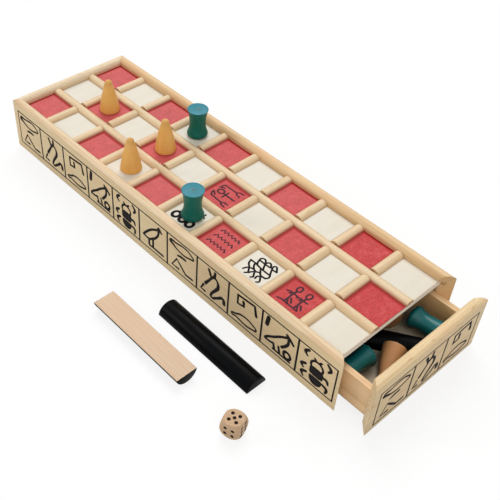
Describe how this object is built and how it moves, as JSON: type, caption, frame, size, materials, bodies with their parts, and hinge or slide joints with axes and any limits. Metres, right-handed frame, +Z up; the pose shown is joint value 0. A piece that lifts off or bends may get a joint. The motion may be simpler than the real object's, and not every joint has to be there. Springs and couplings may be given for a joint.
{
  "type": "board game",
  "caption": "Ancient race game as a long wooden case: a board of squares on top, a drawer in one end for the pieces, turned cones and spools, half-round throwing sticks and a die.",
  "frame": {"origin": "centre of the case's underside: midway between the outer faces of its long sides and of its two ends when the drawer is shut", "axes": "+X along the board towards the drawer, +Y across it from the left rail to the right rail, +Z up from the table"},
  "size_m": [0.4118, 0.1911, 0.0729],
  "materials": {
    "pine": "bare, sanded",
    "plywood": "bare, sanded",
    "red_stain": "thin matte stain with the grain showing",
    "green_paint": "satin paint",
    "gold_paint": "satin paint with a dull golden tone",
    "black_stained_wood": "satin black back, bare flat side and ends",
    "bare_wood": "bare, sanded"
  },
  "bodies": {
    "case": {"left_rail": "pine", "right_rail": "pine", "end_rail": "pine", "playing_panel": "plywood", "bottom_panel": "plywood", "red_squares": "red_stain", "long_strip_left": "pine", "long_strip_right": "pine", "short_strip_left_1": "pine", "short_strip_left_2": "pine", "short_strip_left_3": "pine", "short_strip_left_4": "pine", "short_strip_left_5": "pine", "short_strip_left_6": "pine", "short_strip_left_7": "pine", "short_strip_left_8": "pine", "short_strip_left_9": "pine", "short_strip_middle_1": "pine", "short_strip_middle_2": "pine", "short_strip_middle_3": "pine", "short_strip_middle_4": "pine", "short_strip_middle_5": "pine", "short_strip_middle_6": "pine", "short_strip_middle_7": "pine", "short_strip_middle_8": "pine", "short_strip_middle_9": "pine", "short_strip_right_1": "pine", "short_strip_right_2": "pine", "short_strip_right_3": "pine", "short_strip_right_4": "pine", "short_strip_right_5": "pine", "short_strip_right_6": "pine", "short_strip_right_7": "pine", "short_strip_right_8": "pine", "short_strip_right_9": "pine"},
    "drawer": {"drawer_front": "pine", "drawer_side_left": "pine", "drawer_side_right": "pine", "drawer_back": "pine", "drawer_bottom": "plywood", "stored_spool_left": "green_paint", "stored_spool_right": "green_paint", "stored_spool_back": "green_paint", "stored_cone_front": "gold_paint", "stored_cone_back": "gold_paint", "stored_stick_front": "black_stained_wood", "stored_stick_back": "black_stained_wood"},
    "cone_far_body": {"cone_far": "gold_paint"},
    "cone_middle_body": {"cone_middle": "gold_paint"},
    "cone_near_body": {"cone_near": "gold_paint"},
    "spool_far_body": {"spool_far": "green_paint"},
    "spool_near_body": {"spool_near": "green_paint"},
    "stick_round_up_body": {"stick_round_up": "black_stained_wood"},
    "stick_flat_up_body": {"stick_flat_up": "black_stained_wood"},
    "die_body": {"die": "bare_wood"}
  },
  "joints": [
    {"name": "drawer_slide", "type": "slide", "parent": "case", "child": "drawer", "axis": [1, 0, 0], "range_m": [-0.026, 0.128]},
    {"name": "cone_far_lift", "type": "slide", "parent": "case", "child": "cone_far_body", "axis": [0, 0, 1], "range_m": [0, 0.06]},
    {"name": "cone_middle_lift", "type": "slide", "parent": "case", "child": "cone_middle_body", "axis": [0, 0, 1], "range_m": [0, 0.06]},
    {"name": "cone_near_lift", "type": "slide", "parent": "case", "child": "cone_near_body", "axis": [0, 0, 1], "range_m": [0, 0.06]},
    {"name": "spool_far_lift", "type": "slide", "parent": "case", "child": "spool_far_body", "axis": [0, 0, 1], "range_m": [0, 0.06]},
    {"name": "spool_near_lift", "type": "slide", "parent": "case", "child": "spool_near_body", "axis": [0, 0, 1], "range_m": [0, 0.06]},
    {"name": "stick_round_up_lift", "type": "slide", "parent": "case", "child": "stick_round_up_body", "axis": [0, 0, 1], "range_m": [0, 0.06]},
    {"name": "stick_flat_up_lift", "type": "slide", "parent": "case", "child": "stick_flat_up_body", "axis": [0, 0, 1], "range_m": [0, 0.06]},
    {"name": "die_lift", "type": "slide", "parent": "case", "child": "die_body", "axis": [0, 0, 1], "range_m": [0, 0.06]}
  ]
}
